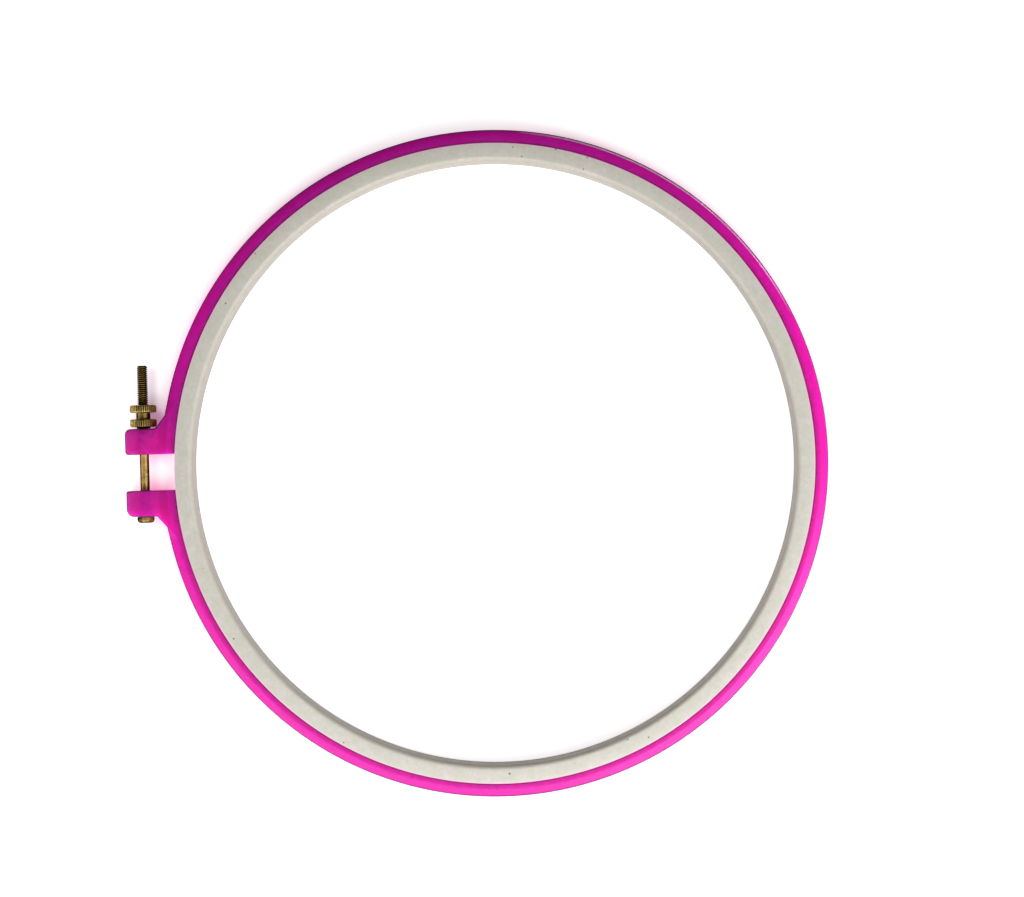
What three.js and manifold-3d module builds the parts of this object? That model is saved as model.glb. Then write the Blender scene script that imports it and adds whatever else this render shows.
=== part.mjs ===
// Screw-tightened embroidery hoop, lying flat, in millimetres.
// Z is up, the lugs and the clamp screw are on the -X side, and the screw runs along Y.
// The origin is the middle of the whole hoop's footprint, on the surface that it lies on.

import * as THREE from "three";
import { mergeVertices } from "three/addons/utils/BufferGeometryUtils.js";
import Module from "manifold-3d";

// Both rings
const HOOP_HEIGHT = 9.5;
const FABRIC_CLEARANCE = 0.3; // radial room for the cloth between the two rings
const EDGE_BREAK = 0.2; // chamfer where the two rings' faces meet their shared gap

// Inner ring
const OPENING_RADIUS = 92;
const INNER_RING_WIDTH = 5.3;
const INNER_RING_TOP_FILLET = 1.6;
const INNER_RING_FOOT_FILLET = 0.5;

// Outer ring
const OUTER_RING_WIDTH = 4;
const SHOULDER_WIDTH = 2.4; // the band along the outer top edge that slopes down and outwards
const SHOULDER_SLOPE = THREE.MathUtils.degToRad(15);
const SHOULDER_ROUND = 0.5; // from the slope to the outer wall
const OUTER_RING_FOOT_FILLET = 0.9;

// Lugs: the two clamp ears at the outer ring's split
const LUG_GAP = 11;
const LUG_THICKNESS = 7.9; // along the screw
const LUG_REACH = 10.8; // beyond the ring's outer wall
const LUG_EDGE_ROUND = 0.4; // along the top and bottom edges
const LUG_HOLE_RADIUS = 2.1; // loose on the screw, because the lugs lean as the ring springs open
const LUG_HOLE_COUNTERSINK = 0.25;
const GUSSET_CLEARANCE = 0.1; // from the nut's rim to the foot of the gusset
const GUSSET_ROOT = 1; // how far the gusset runs on inside the ring's wall
const UPPER_LUG = { side: 1, gapCorner: 0.9, farCorner: 1.7, gussetRise: 3.9, gussetBlend: 1 };
const LOWER_LUG = { side: -1, gapCorner: 0.6, farCorner: 2.3, gussetRise: 3.4, gussetBlend: 0.8 };

// Clamp screw
const SCREW_INSET = 5.1; // from the lugs' outer end to the screw's axis
const THREAD_RADIUS = 1.5875;
const SHANK_RADIUS = 1.4; // the plain stretch of a rolled thread is thinner than its crests
const SCREW_LENGTH = 46.3; // under the head
const THREADED_LENGTH = 24.5;
const SCREW_TIP_CHAMFER = 0.35;
const HEAD_RADIUS = 2.62;
const HEAD_HEIGHT = 1.8;
const HEAD_CROWN_RADIUS = 1; // rounding from the head's side to its end face
const HEAD_CLEARANCE = 0.15; // lets the lower lug lean under the head

// Thumb nut: two knurled flanges on a neck, on a small seating collar
const NUT_SEAT_CLEARANCE = 0.1;
const NUT_THREAD_CLEARANCE = 0.15;
const NUT_COLLAR_RADIUS = 2.1;
const NUT_COLLAR_HEIGHT = 0.5;
const NUT_FLANGE_RADIUS = 4.05;
const NUT_LOWER_FLANGE_HEIGHT = 2.35;
const NUT_NECK_RADIUS = 2.15;
const NUT_NECK_HEIGHT = 2.05;
const NUT_UPPER_FLANGE_HEIGHT = 2.25;
const NUT_FLANGE_CHAMFER = 0.45;
const NUT_MOUTH_CHAMFER = 0.25;
const KNURL_TEETH = 36;
const KNURL_DEPTH = 0.3;
const KNURL_LAND = 0.35; // share of a tooth's spacing that is its flat crest

// Fineness of the round surfaces
const RING_STEPS = 96;
const FILLET_STEPS = 3;
const TURNED_STEPS = 32;
const MERGE_DISTANCE = 1e-4;
const CUT_MARGIN = 2; // how far a cutting body runs past what it cuts

// Sizes that follow from the ones above
const innerRingRadius = OPENING_RADIUS + INNER_RING_WIDTH;
const seatRadius = innerRingRadius + FABRIC_CLEARANCE;
const hoopRadius = seatRadius + OUTER_RING_WIDTH;
const lugNear = LUG_GAP / 2;
const lugFar = lugNear + LUG_THICKNESS;
const lugEnd = hoopRadius + LUG_REACH;
const screwX = SCREW_INSET - lugEnd;
const screwZ = HOOP_HEIGHT / 2;

const wasm = await Module();
wasm.setup();

// A closed geometry as a solid that can be joined and cut
function solidFrom(geometry) {
  const bare = geometry.clone();
  bare.deleteAttribute("normal");
  bare.deleteAttribute("uv");
  const merged = mergeVertices(bare, MERGE_DISTANCE);
  const vertProperties = merged.getAttribute("position").array;
  const triVerts = new Uint32Array(merged.index.array);
  return new wasm.Manifold(new wasm.Mesh({ numProp: 3, vertProperties, triVerts }));
}

function geometryFrom(solid) {
  const mesh = solid.getMesh();
  const geometry = new THREE.BufferGeometry();
  geometry.setAttribute("position", new THREE.BufferAttribute(mesh.vertProperties, 3));
  geometry.setIndex(new THREE.BufferAttribute(mesh.triVerts, 1));
  const faceted = geometry.toNonIndexed();
  faceted.computeVertexNormals();
  return faceted;
}

function boxSolid(low, high) {
  const size = high.clone().sub(low);
  const box = new THREE.BoxGeometry(size.x, size.y, size.z);
  box.translate((low.x + high.x) / 2, (low.y + high.y) / 2, (low.z + high.z) / 2);
  return solidFrom(box);
}

// A ring about Z from a closed section whose points are (radius, height)
function ringSolid(section) {
  const points = section.getPoints(FILLET_STEPS);
  points.push(points[0].clone());
  const ring = new THREE.LatheGeometry(points, RING_STEPS, Math.PI / 2);
  ring.rotateX(Math.PI / 2);
  return solidFrom(ring);
}

// A turned body about Y from a profile that starts and ends on the axis, bottom to top
function turnedSolid(profile) {
  const points = profile.getPoints(FILLET_STEPS);
  return solidFrom(new THREE.LatheGeometry(points, TURNED_STEPS));
}

// A closed outline through the corners {x, y, round}, each rounded to its own radius
function roundedOutline(corners) {
  const outline = new THREE.Shape();
  corners.forEach((corner, index) => {
    const at = new THREE.Vector2(corner.x, corner.y);
    const before = corners[(index + corners.length - 1) % corners.length];
    const after = corners[(index + 1) % corners.length];
    const arriving = new THREE.Vector2(corner.x - before.x, corner.y - before.y).normalize();
    const leaving = new THREE.Vector2(after.x - corner.x, after.y - corner.y).normalize();
    const turn = Math.acos(THREE.MathUtils.clamp(arriving.dot(leaving), -1, 1));
    const setback = corner.round * Math.tan(turn / 2);
    const handle = setback - (4 / 3) * Math.tan(turn / 4) * corner.round;
    const start = at.clone().addScaledVector(arriving, -setback);
    const end = at.clone().addScaledVector(leaving, setback);
    if (index === 0) {
      outline.moveTo(start.x, start.y);
    } else {
      outline.lineTo(start.x, start.y);
    }
    if (corner.round > 0) {
      const first = at.clone().addScaledVector(arriving, -handle);
      const second = at.clone().addScaledVector(leaving, handle);
      outline.bezierCurveTo(first.x, first.y, second.x, second.y, end.x, end.y);
    }
  });
  outline.closePath();
  return outline;
}

function innerRing() {
  const section = new THREE.Path();
  section.moveTo(OPENING_RADIUS + INNER_RING_FOOT_FILLET, 0);
  section.lineTo(innerRingRadius - EDGE_BREAK, 0);
  section.lineTo(innerRingRadius, EDGE_BREAK);
  section.lineTo(innerRingRadius, HOOP_HEIGHT - EDGE_BREAK);
  section.lineTo(innerRingRadius - EDGE_BREAK, HOOP_HEIGHT);
  const topFilletX = OPENING_RADIUS + INNER_RING_TOP_FILLET;
  const topFilletZ = HOOP_HEIGHT - INNER_RING_TOP_FILLET;
  section.absarc(topFilletX, topFilletZ, INNER_RING_TOP_FILLET, Math.PI / 2, Math.PI, false);
  const footFilletX = OPENING_RADIUS + INNER_RING_FOOT_FILLET;
  section.absarc(footFilletX, INNER_RING_FOOT_FILLET, INNER_RING_FOOT_FILLET, Math.PI, 1.5 * Math.PI, false);
  return ringSolid(section);
}

// The outer ring's plain band, before it is split and gets its lugs
function outerBand() {
  const section = new THREE.Path();
  section.moveTo(seatRadius + EDGE_BREAK, 0);
  const footX = hoopRadius - OUTER_RING_FOOT_FILLET;
  section.lineTo(footX, 0);
  section.absarc(footX, OUTER_RING_FOOT_FILLET, OUTER_RING_FOOT_FILLET, -Math.PI / 2, 0, false);
  const creaseX = hoopRadius - SHOULDER_WIDTH;
  const roundX = hoopRadius - SHOULDER_ROUND;
  const slopeOverRound = HOOP_HEIGHT - (roundX - creaseX) * Math.tan(SHOULDER_SLOPE);
  const roundZ = slopeOverRound - SHOULDER_ROUND / Math.cos(SHOULDER_SLOPE);
  section.absarc(roundX, roundZ, SHOULDER_ROUND, 0, Math.PI / 2 - SHOULDER_SLOPE, false);
  section.lineTo(creaseX, HOOP_HEIGHT);
  section.lineTo(seatRadius + EDGE_BREAK, HOOP_HEIGHT);
  section.lineTo(seatRadius, HOOP_HEIGHT - EDGE_BREAK);
  section.lineTo(seatRadius, EDGE_BREAK);
  return ringSolid(section);
}

// One lug with its gusset, rooted under the flat part of the ring's top
function lug({ side, gapCorner, farCorner, gussetRise, gussetBlend }) {
  const rootRadius = (seatRadius + hoopRadius - SHOULDER_WIDTH) / 2;
  const onCircle = (radius, y) => -Math.sqrt(radius ** 2 - y ** 2);
  const gussetTop = lugFar + gussetRise;
  const gussetStart = new THREE.Vector2(screwX + NUT_FLANGE_RADIUS + GUSSET_CLEARANCE, lugFar);
  const gussetEnd = new THREE.Vector2(onCircle(hoopRadius, gussetTop), gussetTop);
  const buried = gussetEnd.clone().sub(gussetStart).setLength(GUSSET_ROOT).add(gussetEnd);
  const corners = [
    { x: onCircle(rootRadius, lugNear), y: lugNear, round: 0 },
    { x: -lugEnd, y: lugNear, round: gapCorner },
    { x: -lugEnd, y: lugFar, round: farCorner },
    { x: gussetStart.x, y: gussetStart.y, round: gussetBlend },
    { x: buried.x, y: buried.y, round: 0 },
    { x: onCircle(rootRadius, buried.y), y: buried.y, round: 0 },
  ];
  const outline = roundedOutline(corners.map(({ x, y, round }) => ({ x, y: side * y, round })));
  const block = new THREE.ExtrudeGeometry(outline, {
    depth: HOOP_HEIGHT - 2 * LUG_EDGE_ROUND,
    bevelThickness: LUG_EDGE_ROUND,
    bevelSize: LUG_EDGE_ROUND,
    bevelOffset: -LUG_EDGE_ROUND,
    bevelSegments: FILLET_STEPS,
    curveSegments: FILLET_STEPS,
  });
  block.translate(0, 0, LUG_EDGE_ROUND);
  return solidFrom(block);
}

// The screw's hole through one lug, flared a little at both faces
function lugHole(side) {
  const flare = LUG_HOLE_COUNTERSINK;
  const mouth = LUG_HOLE_RADIUS + flare + CUT_MARGIN;
  const profile = new THREE.Path();
  profile.moveTo(0, lugNear - CUT_MARGIN);
  profile.lineTo(mouth, lugNear - CUT_MARGIN);
  profile.lineTo(LUG_HOLE_RADIUS, lugNear + flare);
  profile.lineTo(LUG_HOLE_RADIUS, lugFar - flare);
  profile.lineTo(mouth, lugFar + CUT_MARGIN);
  profile.lineTo(0, lugFar + CUT_MARGIN);
  const hole = new THREE.LatheGeometry(profile.getPoints(), TURNED_STEPS);
  if (side < 0) {
    hole.rotateZ(Math.PI);
  }
  hole.translate(screwX, 0, screwZ);
  return solidFrom(hole);
}

// The outer ring is one springy moulding. It is held as two arms that meet face to face
// opposite the lugs, where it bends when the screw lets it open.
function outerRingArm(lugSizes) {
  const { side } = lugSizes;
  const reach = lugEnd + CUT_MARGIN;
  const low = new THREE.Vector3(-reach, side > 0 ? 0 : -reach, -CUT_MARGIN);
  const high = new THREE.Vector3(reach, side > 0 ? reach : 0, HOOP_HEIGHT + CUT_MARGIN);
  const splitLow = new THREE.Vector3(-reach, -lugNear, -CUT_MARGIN);
  const splitHigh = new THREE.Vector3(0, lugNear, HOOP_HEIGHT + CUT_MARGIN);
  const halfBand = outerBand().intersect(boxSolid(low, high)).subtract(boxSolid(splitLow, splitHigh));
  return halfBand.add(lug(lugSizes)).subtract(lugHole(side));
}

// Screw along +Y, with the underside of its head at the origin
function clampScrew() {
  const profile = new THREE.Path();
  const crown = HEAD_CROWN_RADIUS;
  profile.moveTo(0, -HEAD_HEIGHT);
  profile.lineTo(HEAD_RADIUS - crown, -HEAD_HEIGHT);
  profile.absarc(HEAD_RADIUS - crown, crown - HEAD_HEIGHT, crown, -Math.PI / 2, 0, false);
  profile.lineTo(HEAD_RADIUS, 0);
  profile.lineTo(SHANK_RADIUS, 0);
  const threadStart = SCREW_LENGTH - THREADED_LENGTH;
  profile.lineTo(SHANK_RADIUS, threadStart);
  profile.lineTo(THREAD_RADIUS, threadStart + (THREAD_RADIUS - SHANK_RADIUS));
  profile.lineTo(THREAD_RADIUS, SCREW_LENGTH - SCREW_TIP_CHAMFER);
  profile.lineTo(THREAD_RADIUS - SCREW_TIP_CHAMFER, SCREW_LENGTH);
  profile.lineTo(0, SCREW_LENGTH);
  return turnedSolid(profile);
}

// A straight-knurled disc from one height to another, its rims chamfered
function knurledFlange(bottom, height) {
  const outline = new THREE.Shape();
  const spacing = (2 * Math.PI) / KNURL_TEETH;
  const valleyRadius = NUT_FLANGE_RADIUS - KNURL_DEPTH;
  for (let tooth = 0; tooth < KNURL_TEETH; tooth += 1) {
    const valley = tooth * spacing;
    const crestStart = valley + (spacing * (1 - KNURL_LAND)) / 2;
    const crestEnd = crestStart + spacing * KNURL_LAND;
    const valleyPoint = [valleyRadius * Math.cos(valley), valleyRadius * Math.sin(valley)];
    if (tooth === 0) {
      outline.moveTo(...valleyPoint);
    } else {
      outline.lineTo(...valleyPoint);
    }
    outline.lineTo(NUT_FLANGE_RADIUS * Math.cos(crestStart), NUT_FLANGE_RADIUS * Math.sin(crestStart));
    outline.lineTo(NUT_FLANGE_RADIUS * Math.cos(crestEnd), NUT_FLANGE_RADIUS * Math.sin(crestEnd));
  }
  outline.closePath();
  const disc = new THREE.ExtrudeGeometry(outline, { depth: height, bevelEnabled: false });
  disc.rotateX(-Math.PI / 2);
  disc.translate(0, bottom, 0);
  const rim = new THREE.Path();
  const outside = NUT_FLANGE_RADIUS + CUT_MARGIN;
  const rimFace = NUT_FLANGE_RADIUS - NUT_FLANGE_CHAMFER;
  const spread = NUT_FLANGE_CHAMFER + CUT_MARGIN;
  rim.moveTo(0, bottom);
  rim.lineTo(rimFace, bottom);
  rim.lineTo(outside, bottom + spread);
  rim.lineTo(outside, bottom + height - spread);
  rim.lineTo(rimFace, bottom + height);
  rim.lineTo(0, bottom + height);
  return solidFrom(disc).intersect(turnedSolid(rim));
}

// Nut on the screw's axis, along +Y, with its seat at the origin
function clampNut() {
  const lowerFlange = NUT_COLLAR_HEIGHT;
  const neck = lowerFlange + NUT_LOWER_FLANGE_HEIGHT;
  const upperFlange = neck + NUT_NECK_HEIGHT;
  const top = upperFlange + NUT_UPPER_FLANGE_HEIGHT;
  const core = new THREE.Path();
  core.moveTo(0, 0);
  core.lineTo(NUT_COLLAR_RADIUS, 0);
  core.lineTo(NUT_COLLAR_RADIUS, neck - NUT_LOWER_FLANGE_HEIGHT / 2);
  core.lineTo(NUT_NECK_RADIUS, neck - NUT_LOWER_FLANGE_HEIGHT / 2);
  core.lineTo(NUT_NECK_RADIUS, upperFlange + NUT_UPPER_FLANGE_HEIGHT / 2);
  core.lineTo(0, upperFlange + NUT_UPPER_FLANGE_HEIGHT / 2);
  const bore = new THREE.Path();
  const boreRadius = THREAD_RADIUS + NUT_THREAD_CLEARANCE;
  bore.moveTo(0, -CUT_MARGIN);
  bore.lineTo(boreRadius, -CUT_MARGIN);
  bore.lineTo(boreRadius, top - NUT_MOUTH_CHAMFER);
  bore.lineTo(boreRadius + NUT_MOUTH_CHAMFER + CUT_MARGIN, top + CUT_MARGIN);
  bore.lineTo(0, top + CUT_MARGIN);
  return turnedSolid(core)
    .add(knurledFlange(lowerFlange, NUT_LOWER_FLANGE_HEIGHT))
    .add(knurledFlange(upperFlange, NUT_UPPER_FLANGE_HEIGHT))
    .subtract(turnedSolid(bore));
}

function pinkPlastic() {
  return new THREE.MeshStandardMaterial({ color: 0xe42aa6, roughness: 0.4, metalness: 0 });
}

function greyPlastic() {
  return new THREE.MeshStandardMaterial({ color: 0xd0cdc2, roughness: 0.6, metalness: 0 });
}

function agedBrass() {
  return new THREE.MeshStandardMaterial({ color: 0x9c7b3e, roughness: 0.4, metalness: 1 });
}

function piece(name, solid, material) {
  const mesh = new THREE.Mesh(geometryFrom(solid), material);
  mesh.name = name;
  return mesh;
}

const rings = new THREE.Group();
rings.add(piece("inner_ring", innerRing(), greyPlastic()));
rings.add(piece("outer_ring_upper_arm", outerRingArm(UPPER_LUG), pinkPlastic()));
rings.add(piece("outer_ring_lower_arm", outerRingArm(LOWER_LUG), pinkPlastic()));

const screw = piece("clamp_screw", clampScrew(), agedBrass());
screw.position.y = -lugFar - HEAD_CLEARANCE;
const nut = piece("clamp_nut", clampNut(), agedBrass());
nut.position.y = lugFar + NUT_SEAT_CLEARANCE;
const clamp = new THREE.Group();
clamp.position.set(screwX, 0, screwZ);
clamp.add(screw, nut);

const hoop = new THREE.Group();
hoop.name = "embroidery_hoop";
hoop.position.x = (lugEnd - hoopRadius) / 2;
hoop.add(rings, clamp);

export default hoop;
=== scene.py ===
"""A screw-tightened embroidery hoop, lying flat: two plastic rings, a brass screw and its thumb nut."""

import math

import bpy
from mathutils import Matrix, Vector
from mathutils.geometry import delaunay_2d_cdt

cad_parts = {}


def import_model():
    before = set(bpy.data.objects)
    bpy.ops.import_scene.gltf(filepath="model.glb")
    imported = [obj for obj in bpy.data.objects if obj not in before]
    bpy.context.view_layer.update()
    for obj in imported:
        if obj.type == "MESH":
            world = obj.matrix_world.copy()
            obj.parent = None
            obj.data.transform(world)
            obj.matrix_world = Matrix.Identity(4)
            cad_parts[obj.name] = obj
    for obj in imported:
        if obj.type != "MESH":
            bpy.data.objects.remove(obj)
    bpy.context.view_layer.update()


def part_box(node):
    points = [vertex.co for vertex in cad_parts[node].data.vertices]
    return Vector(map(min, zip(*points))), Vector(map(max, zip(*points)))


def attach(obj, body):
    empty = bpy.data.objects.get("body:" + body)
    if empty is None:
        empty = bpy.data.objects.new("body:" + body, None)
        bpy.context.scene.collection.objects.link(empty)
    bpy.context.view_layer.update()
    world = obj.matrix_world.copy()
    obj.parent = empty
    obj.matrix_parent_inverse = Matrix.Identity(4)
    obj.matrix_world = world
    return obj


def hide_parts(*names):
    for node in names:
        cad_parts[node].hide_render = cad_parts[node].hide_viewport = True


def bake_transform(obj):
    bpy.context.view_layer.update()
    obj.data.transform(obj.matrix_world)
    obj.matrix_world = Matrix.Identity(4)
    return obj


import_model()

MM = 0.001

# Places and sizes that the frame gives, in metres
RING_LOW, RING_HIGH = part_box("inner_ring")
ARM_LOW, ARM_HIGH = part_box("outer_ring_upper_arm")
SCREW_LOW, SCREW_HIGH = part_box("clamp_screw")
NUT_LOW, NUT_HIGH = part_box("clamp_nut")
CENTRE_X = (RING_LOW[0] + RING_HIGH[0]) / 2
HEIGHT = RING_HIGH[2]
RIM_RADIUS = (RING_HIGH[1] - RING_LOW[1]) / 2
HOOP_RADIUS = ARM_HIGH[1]
LUG_END = CENTRE_X - ARM_LOW[0]
SCREW_X = (SCREW_LOW[0] + SCREW_HIGH[0]) / 2
SCREW_Z = (SCREW_LOW[2] + SCREW_HIGH[2]) / 2

# Rings
INNER_RING_WIDTH = 5.3 * MM
FABRIC_CLEARANCE = 0.3 * MM
TOP_FILLET = 1.6 * MM
FOOT_FILLET = 0.5 * MM
EDGE_ROUND = 0.06 * MM
OPENING_RADIUS = RIM_RADIUS - INNER_RING_WIDTH
SEAT_RADIUS = RIM_RADIUS + FABRIC_CLEARANCE
SEAM = 0.05 * MM
OUTER_FACE_RADIUS = SEAT_RADIUS - SEAM
SHOULDER_WIDTH = 2.4 * MM
SHOULDER_SLOPE = math.radians(15)
SHOULDER_ROUND = 0.5 * MM
SHOULDER_CREASE = 0.15 * MM
OUTER_FOOT = 0.9 * MM
SEAT_BLEND = 1 * MM
RING_STEPS = 480
ROUND_STEPS = 6
SHARP_DEGREES = 32

# Lugs
LUG_GAP = 11 * MM
LUG_THICKNESS = 7.9 * MM
LUG_NEAR = LUG_GAP / 2
LUG_FAR = LUG_NEAR + LUG_THICKNESS
LUG_EDGE = 0.35 * MM
SEAT_CORNER = 0.45 * MM
LUG_HOLE_RADIUS = 2.1 * MM
NUT_TO_GUSSET = 0.1 * MM
GUSSET_START_X = CENTRE_X - SCREW_X - (NUT_HIGH[0] - NUT_LOW[0]) / 2 - NUT_TO_GUSSET
UPPER_LUG = {"side": 1, "gap_corner": 0.9 * MM, "far_corner": 1.7 * MM, "rise": 3.9 * MM, "blend": 1.2 * MM}
LOWER_LUG = {"side": -1, "gap_corner": 0.6 * MM, "far_corner": 2.3 * MM, "rise": 3.4 * MM, "blend": 0.8 * MM}
GUSSET_END_ROUND = 0.7 * MM
SHOULDER_RUN_IN = 4 * MM

# Screw and nut
THREAD_PITCH = 0.635 * MM
THREAD_DEPTH = 0.36 * MM
THREAD_ROOT = 0.06
THREAD_FLANK = 0.56
CREST_RADIUS = 1.5875 * MM
SHANK_RADIUS = 1.4 * MM
THREADED_LENGTH = 24.5 * MM
TIP_CHAMFER = 0.4 * MM
HEAD_HEIGHT = 1.8 * MM
HEAD_ROUND = 1 * MM
HEAD_EDGE = 0.15 * MM
SHANK_FILLET = 0.1 * MM
NUT_BORE_RADIUS = 1.64 * MM
NUT_BORE_GROOVE = 0.1 * MM
NUT_BORE_MOUTH = 0.25 * MM
NUT_COLLAR_RADIUS = 2.1 * MM
NUT_COLLAR_HEIGHT = 0.5 * MM
NUT_LOWER_FLANGE = 2.35 * MM
NUT_NECK_RADIUS = 2.15 * MM
NUT_NECK_HEIGHT = 2.05 * MM
NUT_UPPER_FLANGE = 2.25 * MM
NUT_RIM_ROUND = 0.5 * MM
NUT_CORNER = 0.12 * MM
KNURL_TEETH = 36
KNURL_DEPTH = 0.3 * MM
KNURL_FLANK = 0.62
TURNED_SHARP_DEGREES = 40
SCREW_COLUMNS = 56
SHANK_ROWS = 24
THREAD_ROWS = 12
BORE_THREAD_ROWS = 8
TOOTH_COLUMNS = 8


# Shapes

def mesh_object(name, vertices, faces, material, sharp_degrees=SHARP_DEGREES):
    """A closed mesh, smooth except at edges sharper than the given angle."""
    mesh = bpy.data.meshes.new(name)
    mesh.from_pydata(vertices, [], faces)
    mesh.validate()
    mesh.shade_smooth()
    mesh.set_sharp_from_angle(angle=math.radians(sharp_degrees))
    mesh.materials.append(material)
    obj = bpy.data.objects.new(name, mesh)
    bpy.context.scene.collection.objects.link(obj)
    return obj


def round_edge(radius):
    """Steps (inset, drop) of a rounded edge, from the wall up to the face."""
    steps = []
    for step in range(ROUND_STEPS + 1):
        angle = math.pi / 2 * step / ROUND_STEPS
        steps.append((radius * (1 - math.cos(angle)), radius * (1 - math.sin(angle))))
    return steps


def shoulder_edge():
    """Steps (inset, drop) of the ring's outer edge: a rounded corner, a shallow slope and a soft crease."""
    fall = math.tan(SHOULDER_SLOPE)
    hub = (SHOULDER_WIDTH - SHOULDER_ROUND) * fall + SHOULDER_ROUND / math.cos(SHOULDER_SLOPE)
    steps = []
    for step in range(ROUND_STEPS + 1):
        angle = (math.pi / 2 - SHOULDER_SLOPE) * step / ROUND_STEPS
        steps.append((SHOULDER_ROUND * (1 - math.cos(angle)), hub - SHOULDER_ROUND * math.sin(angle)))
    for inset in (steps[-1][0] + SHOULDER_CREASE, SHOULDER_WIDTH - SHOULDER_CREASE):
        steps.append((inset, (SHOULDER_WIDTH - inset) * fall))
    steps.append((SHOULDER_WIDTH, SHOULDER_CREASE * fall / 4))
    steps.append((SHOULDER_WIDTH + SHOULDER_CREASE, 0))
    return steps


def edge_like(count, size):
    """A plain rounded edge with as many steps as asked, the last ones a hair apart on the flat face."""
    steps = round_edge(size)
    while len(steps) < count:
        steps.append((steps[-1][0] + 0.02 * MM, 0))
    return steps


def closed_grid(rows):
    """Faces between closed rows of equal length, the last row joined to the first."""
    count = len(rows[0])
    vertices = [point for row in rows for point in row]
    faces = []
    for row in range(len(rows)):
        following = (row + 1) % len(rows)
        for column in range(count):
            beside = (column + 1) % count
            faces.append((row * count + column, row * count + beside,
                          following * count + beside, following * count + column))
    return vertices, faces


def inner_ring(material):
    """The inner ring, revolved from its section."""
    section = []
    for inset, drop in round_edge(FOOT_FILLET)[::-1]:
        section.append((OPENING_RADIUS + inset, drop))
    for inset, drop in round_edge(TOP_FILLET):
        section.append((OPENING_RADIUS + inset, HEIGHT - drop))
    for inset, drop in round_edge(EDGE_ROUND)[::-1]:
        section.append((OUTER_FACE_RADIUS - inset, HEIGHT - drop))
    for inset, drop in round_edge(EDGE_ROUND):
        section.append((OUTER_FACE_RADIUS - inset, drop))
    rows = []
    for radius, z in section:
        row = []
        for step in range(RING_STEPS):
            angle = 2 * math.pi * step / RING_STEPS
            row.append((CENTRE_X + radius * math.cos(angle), radius * math.sin(angle), z))
        rows.append(row)
    vertices, faces = closed_grid(rows)
    return mesh_object("inner_ring_band", vertices, faces, material)


def rounded_corner(before, at, after, radius, steps=6):
    """Points of the arc that rounds the corner at, between its neighbours before and after."""
    arriving = (at - before).normalized()
    leaving = (after - at).normalized()
    turn = arriving.angle(leaving)
    if radius == 0 or turn < 1e-4:
        return [at]
    setback = radius * math.tan(turn / 2)
    start = at - arriving * setback
    side = 1 if arriving.cross(leaving) > 0 else -1
    hub = start + Vector((-arriving.y, arriving.x)) * side * radius
    points = []
    for step in range(steps + 1):
        angle = side * turn * step / steps
        spoke = start - hub
        turned = Vector((spoke.x * math.cos(angle) - spoke.y * math.sin(angle),
                         spoke.x * math.sin(angle) + spoke.y * math.cos(angle)))
        points.append(hub + turned)
    return points


def lug_corners(lug):
    """One lug's corners about the ring's centre, from the seat wall outwards and back to the outer wall."""
    side = lug["side"]
    gusset_end_y = LUG_FAR + lug["rise"]
    corners = [
        (-math.sqrt(SEAT_RADIUS ** 2 - LUG_NEAR ** 2), LUG_NEAR, SEAT_CORNER),
        (-LUG_END, LUG_NEAR, lug["gap_corner"]),
        (-LUG_END, LUG_FAR, lug["far_corner"]),
        (-GUSSET_START_X, LUG_FAR, lug["blend"]),
        (-math.sqrt(HOOP_RADIUS ** 2 - gusset_end_y ** 2), gusset_end_y, GUSSET_END_ROUND),
    ]
    return [(Vector((x, side * y)), radius) for x, y, radius in corners]


def arc_corners(radius, start, end, steps):
    """Points on a circle about the ring's centre, without the two ends."""
    points = []
    for step in range(1, steps):
        angle = start + (end - start) * step / steps
        points.append((Vector((radius * math.cos(angle), radius * math.sin(angle))), 0))
    return points


def outer_ring_outline():
    """The outer ring's outline seen from above, clockwise from the upper lug's gap corner."""
    upper = lug_corners(UPPER_LUG)
    lower = lug_corners(LOWER_LUG)
    upper_end = upper[-1][0]
    lower_end = lower[-1][0]
    start = math.atan2(upper_end.y, upper_end.x)
    end = math.atan2(lower_end.y, lower_end.x)
    seat_start = math.atan2(lower[0][0].y, lower[0][0].x)
    seat_end = math.atan2(upper[0][0].y, upper[0][0].x)
    corners = upper + arc_corners(HOOP_RADIUS, start, end, RING_STEPS)
    corners += lower[::-1] + arc_corners(SEAT_RADIUS, seat_start, seat_end, RING_STEPS)
    outline = []
    for index, (at, radius) in enumerate(corners):
        before = corners[index - 1][0]
        after = corners[(index + 1) % len(corners)][0]
        outline += rounded_corner(before, at, after, radius)
    return outline


def smoothstep(value):
    value = min(max(value, 0), 1)
    return value * value * (3 - 2 * value)


def shoulder_share(point):
    """0 on the lugs and the seat wall, 1 on the ring's outer wall, with a soft run-in between."""
    if point.length < HOOP_RADIUS - 0.2 * MM or point.length > HOOP_RADIUS + 0.05 * MM:
        return 0
    lug = UPPER_LUG if point.y > 0 else LOWER_LUG
    if point.x > 0:
        return 1
    return smoothstep((abs(point.y) - LUG_FAR - lug["rise"]) / SHOULDER_RUN_IN)


def outline_share(at_foot, step):
    """How fully a row takes the painted shade of the fine dark line along the upper outer edge: less on the
    edge's last row.
    """
    if at_foot or step == 0 or step > ROUND_STEPS:
        return 0
    return 1 if step < ROUND_STEPS else 0.7


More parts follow.
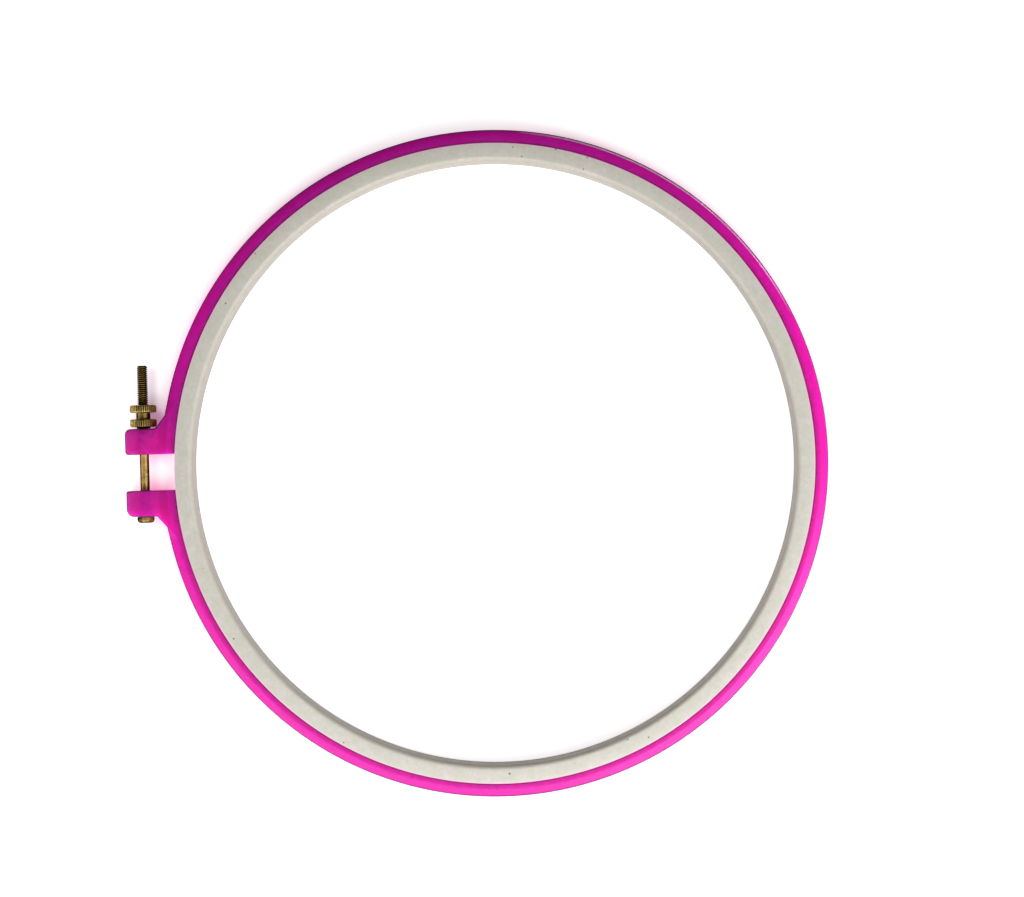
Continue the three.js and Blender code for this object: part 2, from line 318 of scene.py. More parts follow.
def flat_cap(row, first, upward):
    """Triangles that fill one closed row of points, numbered from first on."""
    flat = [Vector((x, y)) for x, y, z in row]
    edges = [(index, (index + 1) % len(flat)) for index in range(len(flat))]
    filled = delaunay_2d_cdt(flat, edges, [], 1, 1e-9)
    places, triangles, sources = filled[0], filled[2], filled[3]
    faces = []
    for triangle in triangles:
        a, b, c = (places[corner] for corner in triangle)
        numbers = [first + sources[corner][0] for corner in triangle]
        counter_clockwise = (b - a).cross(c - a) > 0
        faces.append(numbers if counter_clockwise == upward else numbers[::-1])
    return faces


def outer_ring(material):
    """The whole outer moulding: its outline carried up from the foot to the rounded top edge."""
    outline = outer_ring_outline()
    count = len(outline)
    inward = []
    for index in range(count):
        arriving = (outline[index] - outline[index - 1]).normalized()
        leaving = (outline[(index + 1) % count] - outline[index]).normalized()
        along = (arriving + leaving).normalized()
        stretch = 1 / max(along.dot(arriving), 0.5)
        inward.append(Vector((along.y, -along.x)) * stretch)
    shoulder = shoulder_edge()
    foot = round_edge(OUTER_FOOT)
    rows = []
    edge = []
    for at_foot, band in ((True, foot[::-1]), (False, shoulder)):
        plain = edge_like(len(band), LUG_EDGE)
        seat = edge_like(len(band), EDGE_ROUND)
        if at_foot:
            plain.reverse()
            seat.reverse()
        for step in range(len(band)):
            row = []
            for point, normal in zip(outline, inward):
                share = shoulder_share(point)
                off_seat = smoothstep((point.length - SEAT_RADIUS) / SEAT_BLEND)
                inset, drop = (
                    (seat[step][part] * (1 - off_seat) + plain[step][part] * off_seat) * (1 - share)
                    + band[step][part] * share for part in (0, 1))
                place = point + normal * inset
                row.append((CENTRE_X + place.x, place.y, drop if at_foot else HEIGHT - drop))
                edge.append(off_seat * outline_share(at_foot, step))
            rows.append(row)
    vertices = [point for row in rows for point in row]
    faces = []
    for level in range(len(rows) - 1):
        for index in range(count):
            beside = (index + 1) % count
            faces.append((level * count + beside, level * count + index,
                          (level + 1) * count + index, (level + 1) * count + beside))
    top = (len(rows) - 1) * count
    faces += flat_cap(rows[0], 0, upward=False)
    faces += flat_cap(rows[-1], top, upward=True)
    ring = mesh_object("outer_ring_moulding", vertices, faces, material)
    layer = ring.data.attributes.new("edge", "FLOAT", "POINT")
    layer.data.foreach_set("value", edge)
    bore_lugs(ring)
    return ring


def bore_lugs(ring):
    """Cuts the screw's holes through both lugs."""
    bpy.ops.mesh.primitive_cylinder_add(
        vertices=64, radius=LUG_HOLE_RADIUS, depth=2 * LUG_FAR + 4 * MM,
        location=(SCREW_X, 0, SCREW_Z), rotation=(math.pi / 2, 0, 0))
    drill = bpy.context.object
    cut = ring.modifiers.new("screw_holes", "BOOLEAN")
    cut.operation = "DIFFERENCE"
    cut.solver = "EXACT"
    cut.object = drill
    graph = bpy.context.evaluated_depsgraph_get()
    bored = bpy.data.meshes.new_from_object(ring.evaluated_get(graph))
    ring.modifiers.clear()
    ring.data = bored
    bored.shade_smooth()
    bored.set_sharp_from_angle(angle=math.radians(SHARP_DEGREES))
    bpy.data.objects.remove(drill)


def turned(name, rows, columns, material, closed):
    """A body turned about the screw's axis. Each row is (y, radius by angle, darkening by angle), the
    darkening being grime in recesses and painted shade and highlights.
    """
    vertices = []
    grime_and_painted_shade = []
    for y, radius_at, darkening_at in rows:
        for column in range(columns):
            angle = 2 * math.pi * column / columns
            radius = radius_at(angle)
            vertices.append((SCREW_X + radius * math.sin(angle), y, SCREW_Z + radius * math.cos(angle)))
            grime_and_painted_shade.append(darkening_at(angle))
    faces = []
    for row in range(len(rows) if closed else len(rows) - 1):
        following = (row + 1) % len(rows)
        for column in range(columns):
            beside = (column + 1) % columns
            faces.append((row * columns + column, row * columns + beside,
                          following * columns + beside, following * columns + column))
    if not closed:
        faces.append([column for column in range(columns - 1, -1, -1)])
        faces.append([(len(rows) - 1) * columns + column for column in range(columns)])
    obj = mesh_object(name, vertices, faces, material, TURNED_SHARP_DEGREES)
    layer = obj.data.attributes.new("grime_and_painted_shade", "FLOAT", "POINT")
    layer.data.foreach_set("value", grime_and_painted_shade)
    return obj


def thread_ridge(y, angle):
    """0 in the middle of the root and 1 in the middle of the crest of a right-handed thread along +Y."""
    phase = (y / THREAD_PITCH - angle / (2 * math.pi)) % 1
    return 1 - abs(2 * phase - 1)


def thread_height(y, angle):
    """The thread's profile, from 0 in its root to 1 on its crest."""
    return smoothstep((thread_ridge(y, angle) - THREAD_ROOT) / THREAD_FLANK)


def crest_wear_and_highlight(y, angle):
    """How much the thread is lightened: 1 along its crest on the upper and lower side, a worn crest with a
    painted highlight, and painted shade towards its sides.
    """
    return max(2 * thread_ridge(y, angle) - 1, 0) ** 2 * math.cos(angle) ** 2


def constant(value):
    return lambda angle: value


def painted_reflection_streaks(middle):
    """Painted reflection and shade along a turned surface: dark on its flanks, lighter to either side of its
    middle, and as given along a stripe in its middle.
    """
    def darkening_at(angle):
        aside = math.sin(angle)
        stripe = math.exp(-((aside - 0.08) / 0.2) ** 2)
        return middle * stripe + 0.85 * smoothstep((abs(aside - 0.05) - 0.48) / 0.24)
    return darkening_at


def clamp_screw(material):
    """Pan head, plain shank and rolled thread with a chamfered tip."""
    head_under = SCREW_LOW[1] + HEAD_HEIGHT
    head_radius = (SCREW_HIGH[0] - SCREW_LOW[0]) / 2
    tip = SCREW_HIGH[1]
    thread_start = tip - THREADED_LENGTH

    # Painted shade: the head's left side is darker, over a plain tarnish.
    def head_grime_and_painted_shade(angle):
        return 0.55 + 0.3 * smoothstep((-0.2 - math.sin(angle)) / 0.4)

    rows = []
    for inset, drop in round_edge(HEAD_ROUND)[::-1]:
        rim = constant(0.85) if drop < 0.5 * HEAD_ROUND else head_grime_and_painted_shade
        rows.append((SCREW_LOW[1] + drop, constant(head_radius - inset), rim))
    for inset, drop in round_edge(HEAD_EDGE):
        rows.append((head_under - drop, constant(head_radius - inset), head_grime_and_painted_shade))
    rows.append((head_under, constant(SHANK_RADIUS + SHANK_FILLET), constant(0.9)))
    rows.append((head_under + SHANK_FILLET, constant(SHANK_RADIUS), constant(0.8)))
    for step in range(1, SHANK_ROWS + 1):
        y = head_under + (thread_start - head_under) * step / SHANK_ROWS
        rows.append((y, constant(SHANK_RADIUS), painted_reflection_streaks(0.3)))
    thread_steps = round(THREADED_LENGTH / THREAD_PITCH * THREAD_ROWS)
    for step in range(1, thread_steps + 1):
        y = thread_start + THREADED_LENGTH * step / thread_steps
        run_in = smoothstep((y - thread_start) / (1.5 * THREAD_PITCH))
        chamfer = CREST_RADIUS - TIP_CHAMFER + (tip - y)

        def radius_at(angle, y=y, run_in=run_in, chamfer=chamfer):
            threaded = CREST_RADIUS - THREAD_DEPTH * (1 - thread_height(y, angle))
            return min(SHANK_RADIUS + (threaded - SHANK_RADIUS) * run_in, chamfer)

        def darkening_at(angle, y=y, run_in=run_in):
            return run_in * (1 - 0.95 * crest_wear_and_highlight(y, angle))

        rows.append((y, radius_at, darkening_at))
    return turned("screw_body", rows, SCREW_COLUMNS, material, closed=False)


def knurl(angle):
    """0 in a groove and 1 on a tooth's crest."""
    phase = (angle * KNURL_TEETH / (2 * math.pi)) % 1
    ridge = 1 - abs(2 * phase - 1)
    return smoothstep(ridge / KNURL_FLANK)


def flange_rows(bottom, height, flange_radius):
    """Rows of one knurled flange from its lower face to its upper face, rims rounded."""
    rows = []
    edges = []
    for inset, drop in round_edge(NUT_RIM_ROUND)[::-1]:
        edges.append((bottom + drop, inset))
    for step in range(1, 6):
        edges.append((bottom + NUT_RIM_ROUND + (height - 2 * NUT_RIM_ROUND) * step / 6, 0))
    for inset, drop in round_edge(NUT_RIM_ROUND):
        edges.append((bottom + height - drop, inset))
    for y, inset in edges:

        def radius_at(angle, inset=inset):
            return min(flange_radius - inset, flange_radius - KNURL_DEPTH * (1 - knurl(angle)))

        def darkening_at(angle, inset=inset):
            return 0.1 + 0.9 * (1 - knurl(angle)) if inset < NUT_RIM_ROUND / 2 else 0.4

        rows.append((y, radius_at, darkening_at))
    return rows


def clamp_nut(material):
    """Thumb nut: seating collar, two knurled flanges, neck and threaded bore."""
    seat = NUT_LOW[1]
    top = NUT_HIGH[1]
    flange_radius = (NUT_HIGH[0] - NUT_LOW[0]) / 2
    lower = seat + NUT_COLLAR_HEIGHT
    neck = lower + NUT_LOWER_FLANGE
    upper = neck + NUT_NECK_HEIGHT
    rows = [
        (seat, constant(NUT_COLLAR_RADIUS - NUT_CORNER), constant(0.8)),
        (seat + NUT_CORNER, constant(NUT_COLLAR_RADIUS), constant(0.9)),
        (lower, constant(NUT_COLLAR_RADIUS), constant(1)),
    ]
    rows += flange_rows(lower, NUT_LOWER_FLANGE, flange_radius)
    rows += [
        (neck, constant(NUT_NECK_RADIUS + NUT_CORNER), constant(0.9)),
        (neck + NUT_CORNER, constant(NUT_NECK_RADIUS), constant(0.5)),
        (neck + NUT_NECK_HEIGHT * 0.25, constant(NUT_NECK_RADIUS), painted_reflection_streaks(0.5)),
        (neck + NUT_NECK_HEIGHT * 0.75, constant(NUT_NECK_RADIUS), painted_reflection_streaks(0.5)),
        (upper - NUT_CORNER, constant(NUT_NECK_RADIUS), constant(0.5)),
        (upper, constant(NUT_NECK_RADIUS + NUT_CORNER), constant(0.9)),
    ]
    rows += flange_rows(upper, NUT_UPPER_FLANGE, flange_radius)
    mouth = NUT_BORE_RADIUS + NUT_BORE_GROOVE + NUT_BORE_MOUTH
    rows.append((top, constant(mouth), constant(0.6)))
    bore_steps = round((top - seat) / THREAD_PITCH * BORE_THREAD_ROWS)
    for step in range(1, bore_steps):
        y = top - (top - seat) * step / bore_steps

        def radius_at(angle, y=y):
            return NUT_BORE_RADIUS + NUT_BORE_GROOVE * (1 - thread_height(y, angle))

        rows.append((y, radius_at, constant(0.9)))
    rows.append((seat, constant(NUT_BORE_RADIUS + NUT_BORE_GROOVE), constant(0.9)))
    return turned("thumb_nut", rows, KNURL_TEETH * TOOTH_COLUMNS, material, closed=True)


# Materials

class Shader:
    """Short words for building one node material."""

    def __init__(self, name):
        self.material = bpy.data.materials.new(name)
        self.material.use_nodes = True
        self.nodes = self.material.node_tree.nodes
        self.links = self.material.node_tree.links
        self.surface = self.nodes["Principled BSDF"]
        self.coordinates = self.nodes.new("ShaderNodeTexCoord").outputs["Object"]
        split = self.nodes.new("ShaderNodeSeparateXYZ")
        self.links.new(self.coordinates, split.inputs[0])
        self.x, self.y, self.z = split.outputs

    def add(self, kind, inputs=None, **settings):
        node = self.nodes.new(kind)
        for key, value in settings.items():
            setattr(node, key, value)
        for key, value in (inputs or {}).items():
            self.feed(node.inputs[key], value)
        return node

    def feed(self, socket, value):
        if isinstance(value, bpy.types.NodeSocket):
            self.links.new(value, socket)
        else:
            socket.default_value = value

    def noise(self, scale, detail=2, roughness=0.5, distortion=0):
        node = self.add("ShaderNodeTexNoise", {
            "Vector": self.coordinates, "Scale": scale, "Detail": detail,
            "Roughness": roughness, "Distortion": distortion})
        return node.outputs["Fac"]

    def remap(self, value, low, high, to_low=0, to_high=1):
        node = self.add("ShaderNodeMapRange", {
            "Value": value, "From Min": low, "From Max": high, "To Min": to_low, "To Max": to_high})
        return node.outputs["Result"]

    def hump(self, value, middle, half_width, fade):
        """1 within half_width of the middle value, and 0 from fade beyond that on."""
        offset = self.math("ABSOLUTE", self.math("SUBTRACT", value, middle))
        return self.remap(offset, half_width + fade, half_width)

    def spot(self, place, radius):
        """1 at the place and 0 outside the radius."""
        node = self.add("ShaderNodeVectorMath", {0: self.coordinates, 1: place}, operation="DISTANCE")
        return self.remap(node.outputs["Value"], radius, radius / 2)

    def radius(self):
        """Distance from the rings' axis."""
        aside = self.math("SUBTRACT", self.x, CENTRE_X)
        squares = self.math("ADD", self.times(aside, aside), self.times(self.y, self.y))
        return self.math("SQRT", squares)

    def math(self, operation, first, second=0):
        node = self.add("ShaderNodeMath", {0: first, 1: second}, operation=operation)
        return node.outputs[0]

    def times(self, first, *others):
        """The product of several values."""
        for other in others:
            first = self.math("MULTIPLY", first, other)
        return first

    def mix(self, share, first, second):
        node = self.add("ShaderNodeMix", data_type="RGBA")
        self.feed(node.inputs["Factor"], share)
        self.feed(node.inputs[6], first)
        self.feed(node.inputs[7], second)
        return node.outputs[2]

    def bump(self, height, distance, strength=1, normal=None):
        inputs = {"Height": height, "Distance": distance, "Strength": strength}
        if normal is not None:
            inputs["Normal"] = normal
        return self.add("ShaderNodeBump", inputs).outputs["Normal"]

    def finish(self, **surface):
        for key, value in surface.items():
            self.feed(self.surface.inputs[key.replace("_", " ")], value)
        return self.material


def colour(hex_code):
    """A colour written as six hex digits, as linear RGBA."""
    parts = [int(hex_code[place:place + 2], 16) / 255 for place in (0, 2, 4)]
    linear = [part / 12.92 if part <= 0.04045 else ((part + 0.055) / 1.055) ** 2.4 for part in parts]
    return (*linear, 1)


# The stretch of outer edge where a pale reflection is painted: its direction from the ring's middle, how far
# to each side it is painted fully, and where it ends
PAINTED_GLINT_ANGLE = math.radians(55)
PAINTED_GLINT_FULL = math.radians(16)
PAINTED_GLINT_END = math.radians(27)


def ring_tones(shader, radius, flow, wander):
    """Pink with flow marks, with painted light making it brighter along the seat and in the lugs' roots, and
    painted shade making it deeper at the outer edge.
    """
    clouds = shader.remap(shader.noise(70, detail=3), 0.35, 0.65)
    # Painted light brightens the pink along the seat and in the lugs' roots; painted shade deepens it at the
    # outer edge.
    seat_painted_light = shader.remap(radius, SEAT_RADIUS + 2.2 * MM, SEAT_RADIUS + 0.6 * MM)
    outer_edge_painted_shade = shader.hump(radius, HOOP_RADIUS, 0.9 * MM, 0.8 * MM)
    lug_root_painted_light = shader.times(
        shader.hump(wander, SCREW_X + 8 * MM, 4 * MM, 3 * MM), shader.hump(shader.y, 0, LUG_FAR, 6 * MM))
    base = shader.mix(clouds, colour("E60AA0"), colour("EE0EAA"))
    base = shader.mix(shader.math("MAXIMUM", seat_painted_light, lug_root_painted_light), base, colour("FF16AA"))
    base = shader.mix(outer_edge_painted_shade, base, colour("DA0A94"))
    return shader.mix(shader.times(flow, 0.4), base, colour("CC0C94"))


def lug_tones(shader, base, radius, flow, wander):
    """Mottled lugs, with painted shade making them darker where the screw shows through and by the gap, and
    duller at their ends.
    """
    upper = shader.remap(shader.y, -LUG_NEAR, LUG_NEAR)
    # Painted shade: darker where the screw shows through the plastic.
    over_screw = shader.times(
        shader.hump(wander, SCREW_X + 1 * MM, 1.2 * MM, 3 * MM), shader.hump(shader.y, 0, LUG_FAR, 1.5 * MM),
        shader.remap(flow, 0, 1, 0.35, 0.85), shader.remap(upper, 0, 1, 0.1, 0.9))
    base = shader.mix(over_screw, base, colour("A00E76"))
    on_lugs = shader.remap(radius, HOOP_RADIUS, HOOP_RADIUS + 2 * MM)
    # Painted shade: darker by the gap.
    by_gap = shader.times(upper, shader.remap(shader.y, LUG_NEAR + 3.5 * MM, LUG_NEAR, 0, 0.8))
    base = shader.mix(shader.times(by_gap, on_lugs), base, colour("901068"))
    purple = shader.remap(shader.noise(420, detail=4, distortion=1), 0.5, 0.62, 0, 0.35)
    base = shader.mix(shader.times(purple, on_lugs), base, colour("A83CA0"))
    marks = shader.remap(shader.noise(210, detail=3, distortion=1.2), 0.5, 0.66, 0, 0.7)
    base = shader.mix(shader.times(marks, on_lugs), base, colour("FF1CAC"))
    # Painted shade: duller at the lugs' ends.
    ends = shader.remap(shader.x, CENTRE_X - LUG_END + 4.5 * MM, CENTRE_X - LUG_END)
    return shader.mix(shader.times(ends, shader.remap(flow, 0, 1, 0.9, 0.6)), base, colour("8C3478"))


def edge_tones(shader, base, radius, flow):
    """Painted shade as fine dark lines along the seat and the outer edges, and a pale painted reflection
    along a stretch of the outer edge.
    """
    # Painted shade between the rings: a fine dark line along the seat.
    seat_line = shader.remap(radius, SEAT_RADIUS + 0.4 * MM, SEAT_RADIUS + 0.1 * MM, 0, 0.7)
    base = shader.mix(seat_line, base, colour("7A0850"))
    # Painted reflection: a pale stretch of the outer edge.
    along_glint = shader.math(
        "ADD", shader.times(shader.x, math.cos(PAINTED_GLINT_ANGLE)), shader.times(shader.y, math.sin(PAINTED_GLINT_ANGLE)))
    glint_stretch = shader.remap(
        along_glint, HOOP_RADIUS * math.cos(PAINTED_GLINT_END), HOOP_RADIUS * math.cos(PAINTED_GLINT_FULL))
    painted_glint = shader.hump(radius, HOOP_RADIUS - 0.6 * MM, 0.12 * MM, 0.2 * MM)
    painted_glint = shader.times(painted_glint, glint_stretch, shader.remap(flow, 0, 1, 0.95, 0.7))
    base = shader.mix(painted_glint, base, colour("F0B4DC"))
    # Painted shade: the outer edge's dark line drawn stronger along the front half.
    off_lugs = shader.remap(shader.x, CENTRE_X - 97 * MM, CENTRE_X - 90 * MM)
    front_half = shader.times(shader.remap(shader.y, 20 * MM, -20 * MM), off_lugs)
    by_edge = shader.hump(radius, HOOP_RADIUS - 0.25 * MM, 0.2 * MM, 0.2 * MM)
    base = shader.mix(shader.times(by_edge, front_half, 0.4), base, colour("8C1474"))
    # Painted shade: the dark line along the outer edge, greyer where the painted reflection lies.
    rim = shader.mix(glint_stretch, colour("4C1044"), colour("443442"))
    edge = shader.add("ShaderNodeAttribute", attribute_name="edge").outputs["Fac"]
    return shader.mix(shader.times(edge, 0.95), base, rim)


def pink_plastic():
    """Translucent magenta plastic. Around the screw its tones follow wander, x with a gentle drift."""
    shader = Shader("pink_plastic")
    radius = shader.radius()
    flow = shader.remap(shader.noise(230, detail=4, distortion=2.2), 0.38, 0.62)
    drift = shader.remap(shader.noise(170, detail=2), 0.3, 0.7, -1.6 * MM, 1.6 * MM)
    wander = shader.math("ADD", shader.x, drift)
    base = ring_tones(shader, radius, flow, wander)
    base = lug_tones(shader, base, radius, flow, wander)
    base = edge_tones(shader, base, radius, flow)
    roughness = shader.remap(shader.noise(900, detail=4), 0.3, 0.7, 0.3, 0.42)
    normal = shader.bump(shader.noise(2600, detail=3), 0.02 * MM, 0.3)
    normal = shader.bump(shader.noise(160, detail=2, distortion=1), 0.12 * MM, 0.4, normal)
    return shader.finish(
        Base_Color=base, Roughness=roughness, Normal=normal, Subsurface_Weight=1,
        Subsurface_Radius=(1, 0.35, 0.75), Subsurface_Scale=18 * MM, Specular_IOR_Level=0.3)


# Specks moulded into or stuck on the inner ring's top face: x, y and radius in millimetres
SPECKS = (
    (16.1, 93.1, 0.3), (13.5, 96.1, 0.3), (26.5, 95, 0.35), (36, 92.2, 0.3), (34.7, 88.7, 0.3),
    (7.3, -94.5, 0.4), (-75.5, -51.2, 0.35), (-42.9, -83.7, 0.3), (49.9, -84.6, 0.35),
    (43.5, -85.1, 0.3), (-65.8, 65.8, 0.3), (-75.2, 50.9, 0.35),
)

# Distance between the fine lines around the inner wall
WALL_LINE_PITCH = 0.45 * MM


def specks(shader):
    """1 on the larger dark specks, and less on a thin scatter of fine ones."""
    marks = 0
    for x, y, radius in SPECKS:
        marks = shader.math("MAXIMUM", marks, shader.spot((x * MM, y * MM, HEIGHT), radius * MM))
    dust = shader.add("ShaderNodeTexVoronoi", {"Vector": shader.coordinates, "Scale": 420})
    dust = shader.remap(dust.outputs["Distance"], 0.1, 0.04)
    sparse = shader.remap(shader.noise(130, detail=1), 0.6, 0.66)
    return shader.math("MAXIMUM", marks, shader.times(dust, sparse, 0.5))


def wall_lines(shader):
    """Fine lines around the inner wall, gone where the flat top begins."""
    across = shader.math("SUBTRACT", shader.radius(), OPENING_RADIUS)
    along_wall = shader.math("SUBTRACT", across, shader.z)
    waves = shader.math("SINE", shader.times(along_wall, 2 * math.pi / WALL_LINE_PITCH))
    return shader.times(shader.remap(across, 1.1 * MM, 0.3 * MM), shader.remap(waves, -1, 1, 0.3, 0.6))


def painted_pink_bleed(shader):
    """Painted pink light bled from the pink ring onto the outer edge, strong along its top and faint below.
    """
    from_middle = shader.add("ShaderNodeVectorMath", {
        0: shader.coordinates, 1: (CENTRE_X, 0, HEIGHT)}, operation="DISTANCE").outputs["Value"]
    bled = shader.remap(from_middle, OUTER_FACE_RADIUS - 0.65 * MM, OUTER_FACE_RADIUS - 0.1 * MM, 0, 0.7)
    return shader.times(bled, shader.remap(shader.z, HEIGHT - 0.5 * MM, HEIGHT - 0.1 * MM, 0.08, 1))


def grey_plastic():
    """Pale warm grey plastic, faintly mottled."""
    shader = Shader("grey_plastic")
    clouds = shader.remap(shader.noise(55, detail=3), 0.3, 0.7)
    blotches = shader.remap(shader.noise(300, detail=4, roughness=0.65), 0.38, 0.62)
    mottle = shader.remap(shader.noise(900, detail=4, roughness=0.7), 0.38, 0.62)
    base = shader.mix(clouds, colour("D8D7CF"), colour("DEDAD3"))
    base = shader.mix(shader.times(blotches, 0.7), base, colour("CDD1BD"))
    base = shader.mix(shader.times(mottle, 0.55), base, colour("CFC4BA"))
    base = shader.mix(wall_lines(shader), base, colour("B4A69C"))
    # Painted pink light along the outer edge.
    base = shader.mix(painted_pink_bleed(shader), base, colour("F8C4E0"))
    base = shader.mix(specks(shader), base, colour("6E6454"))
    roughness = shader.remap(mottle, 0, 1, 0.5, 0.62)
    normal = shader.bump(shader.noise(2400, detail=3), 0.03 * MM, 0.35)
    normal = shader.bump(shader.noise(140, detail=2), 0.08 * MM, 0.3, normal)
    return shader.finish(Base_Color=base, Roughness=roughness, Normal=normal)


def aged_brass(name, bright, dull, dark):
    """Brass darkened by patina in its recesses and by painted shade, lightened by painted highlights, as the
    darkening kept on each point says.
    """
    shader = Shader(name)
    grime_and_painted_shade = shader.add("ShaderNodeAttribute", attribute_name="grime_and_painted_shade").outputs["Fac"]
    patches = shader.remap(shader.noise(500, detail=4, roughness=0.6), 0.35, 0.65)
    tarnish = shader.remap(shader.noise(260, detail=4, roughness=0.7), 0.55, 0.75)
    base = shader.mix(patches, colour(bright), colour(dull))
    base = shader.mix(shader.times(tarnish, 0.6), base, colour("7A4E2C"))
    stain_and_painted_shade = shader.math("ADD", grime_and_painted_shade, shader.remap(shader.noise(1500, detail=3), 0.3, 0.7, -0.12, 0.12))
    stain_and_painted_shade = shader.remap(stain_and_painted_shade, 0.1, 0.9)
    # Painted reflection of the pink ring: the dark colour turns red towards the screw's right side.
    pink_reflection_painted = shader.remap(shader.x, SCREW_X - 1 * MM, SCREW_X + 3 * MM)
    base = shader.mix(stain_and_painted_shade, base, shader.mix(pink_reflection_painted, colour(dark), colour("300A06")))
    roughness = shader.remap(stain_and_painted_shade, 0, 1, 0.46, 0.66)
    normal = shader.bump(shader.noise(5000, detail=2), 0.01 * MM, 0.3)
    return shader.finish(
        Base_Color=base, Roughness=roughness, Metallic=1, Specular_Tint=colour("A89060"), Normal=normal)


# Scene

def sheet_painted_shade(shader):
    """White, with painted pinkish shade where the object encloses the sheet and a painted greyish shadow to
    the right of the thread.
    """
    contact = shader.add("ShaderNodeAmbientOcclusion", {"Distance": 5 * MM}).outputs["AO"]
    contact = shader.remap(contact, 1, 0.3)
    by_clamp = shader.remap(shader.x, SCREW_X + 30 * MM, SCREW_X + 15 * MM)
    by_screw = shader.remap(shader.x, SCREW_X + 3 * MM, SCREW_X + 12 * MM)
    beyond_screw = shader.remap(shader.x, SCREW_X - 2 * MM, SCREW_X + 2 * MM)
    # Painted pinkish shade in the lug gap.
    in_gap = shader.times(by_clamp, shader.hump(shader.y, 0, LUG_NEAR, 2 * MM))
    contact = shader.math("MAXIMUM", contact, shader.times(in_gap, beyond_screw, 0.1))
    # Painted shadow to the right of the thread.
    tip = SCREW_HIGH[1]
    by_thread = shader.hump(shader.y, (LUG_FAR + tip) / 2, (tip - LUG_FAR) / 2 - 1.5 * MM, 2 * MM)
    off_thread = shader.hump(shader.x, SCREW_X + 2.5 * MM, 0.5 * MM, 5.5 * MM)
    contact = shader.math("ADD", contact, shader.times(by_thread, off_thread, off_thread, 0.28))
    outside = shader.remap(shader.radius(), SEAT_RADIUS, HOOP_RADIUS, 0.2, 1)
    at_top = shader.hump(shader.x, CENTRE_X - 12 * MM, 16 * MM, 22 * MM)
    outside = shader.times(
        outside, shader.remap(at_top, 0, 1, 1, 0.5), shader.remap(beyond_screw, 0, 1, 0.4, 1))
    hue = shader.mix(by_clamp, colour("C0789E"), shader.mix(by_screw, colour("AE84A0"), colour("E872B0")))
    hue = shader.mix(in_gap, hue, colour("F65AB0"))
    return shader.mix(shader.times(contact, outside), (1, 1, 1, 1), hue)


def floor():
    """A pale sheet that shows white and keeps the object's shadow."""
    bpy.ops.mesh.primitive_plane_add(size=12, location=(0, 0, -0.05 * MM))
    sheet = bpy.context.object
    sheet.name = "floor"
    shader = Shader("white_sheet")
    path = shader.add("ShaderNodeLightPath").outputs
    seen = shader.math("MAXIMUM", path["Is Camera Ray"], path["Is Glossy Ray"])
    seen = shader.math("MAXIMUM", seen, path["Is Transmission Ray"])
    lit = shader.add("ShaderNodeBsdfDiffuse", {"Color": colour("C8C8C6")}).outputs[0]
    soft = shader.add("ShaderNodeBsdfDiffuse", {"Color": colour("DCDCDC")}).outputs[0]
    strength = shader.remap(shader.radius(), 150 * MM, 350 * MM, 0.88, 1)
    glow = shader.add("ShaderNodeEmission", {"Color": sheet_painted_shade(shader), "Strength": strength}).outputs[0]
    shown = shader.add("ShaderNodeAddShader", {0: soft, 1: glow}).outputs[0]
    blend = shader.add("ShaderNodeMixShader", {"Fac": seen, 1: lit, 2: shown}).outputs[0]
    shader.links.new(blend, shader.nodes["Material Output"].inputs["Surface"])
    shader.nodes.remove(shader.surface)
    sheet.data.materials.append(shader.material)


def world():
    """Dim warm surroundings, a little brighter overhead."""
    sky = bpy.data.worlds.new("studio")
    bpy.context.scene.world = sky
    sky.use_nodes = True
    nodes = sky.node_tree.nodes
    links = sky.node_tree.links
    direction = nodes.new("ShaderNodeTexCoord")
    split = nodes.new("ShaderNodeSeparateXYZ")
    ramp = nodes.new("ShaderNodeMapRange")
    ramp.interpolation_type = "SMOOTHSTEP"
    ramp.inputs["From Min"].default_value = 0.1
    ramp.inputs["From Max"].default_value = 0.8
    ramp.inputs["To Min"].default_value = 0.06
    ramp.inputs["To Max"].default_value = 0.1
    links.new(direction.outputs["Generated"], split.inputs[0])
    links.new(split.outputs["Z"], ramp.inputs["Value"])
    links.new(ramp.outputs["Result"], nodes["Background"].inputs["Strength"])
    nodes["Background"].inputs["Color"].default_value = (1, 0.96, 0.88, 1)


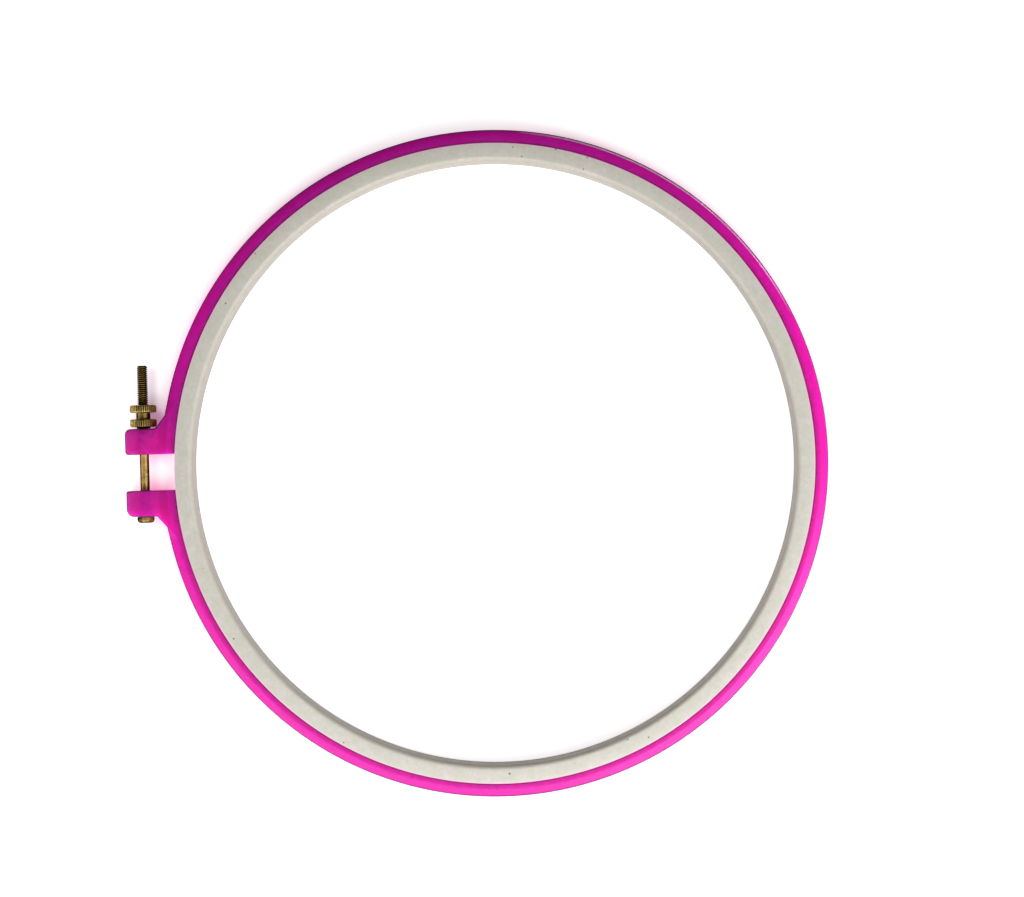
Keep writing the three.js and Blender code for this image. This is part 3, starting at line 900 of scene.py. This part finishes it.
def lamp(name, place, target, width, height, watts):
    """A soft rectangular lamp, aimed at the target and unseen by the camera."""
    data = bpy.data.lights.new(name, "AREA")
    data.shape = "RECTANGLE"
    data.size = width
    data.size_y = height
    data.energy = watts
    obj = bpy.data.objects.new(name, data)
    obj.location = place
    obj.rotation_euler = (Vector(target) - Vector(place)).to_track_quat("-Z", "Y").to_euler()
    obj.visible_camera = False
    bpy.context.scene.collection.objects.link(obj)


def camera():
    """Straight above, rolled a little, at the distance that shows as much inner wall as the photo."""
    data = bpy.data.cameras.new("camera")
    obj = bpy.data.objects.new("camera", data)
    scale = 3.2866 / MM
    distance = 720 * MM
    roll = math.radians(1.55)
    image_width = 1024
    data.sensor_width = 36
    data.lens = data.sensor_width * distance / (image_width / scale)
    aside = 17.1 / scale
    ahead = 14.8 / scale
    x = CENTRE_X + aside * math.cos(roll) + ahead * math.sin(roll)
    y = -aside * math.sin(roll) + ahead * math.cos(roll)
    obj.location = (x, y, HEIGHT + distance)
    obj.rotation_euler = (0, 0, -roll)
    bpy.context.scene.collection.objects.link(obj)
    bpy.context.scene.camera = obj


def main():
    camera()
    world()
    floor()
    lamp("softbox_right", (0.281, -0.312, 0.4), (0, 0, 0), 0.5, 0.45, 3.1)
    lamp("softbox_left", (-0.223, -0.356, 0.4), (0, 0, 0), 0.5, 0.45, 1.75)
    lamp("low_fill_right", (0.36, -0.06, 0.008), (0, 0, 0.006), 0.5, 0.012, 1.2)
    lamp("low_fill_left", (-0.32, -0.18, 0.008), (0, 0, 0.006), 0.5, 0.012, 0.85)
    bpy.context.scene.view_settings.view_transform = "Standard"

    ring = inner_ring(grey_plastic())
    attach(ring, "inner_ring")
    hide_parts("inner_ring")

    moulding = outer_ring(pink_plastic())
    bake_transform(moulding)
    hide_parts("outer_ring_upper_arm", "outer_ring_lower_arm")

    screw = clamp_screw(aged_brass("screw_brass", "F0CC7C", "C4A660", "161004"))
    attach(screw, "screw")
    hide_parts("clamp_screw")

    nut = clamp_nut(aged_brass("nut_brass", "CCB26C", "A68E4E", "2C200C"))
    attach(nut, "nut")
    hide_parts("clamp_nut")


main()
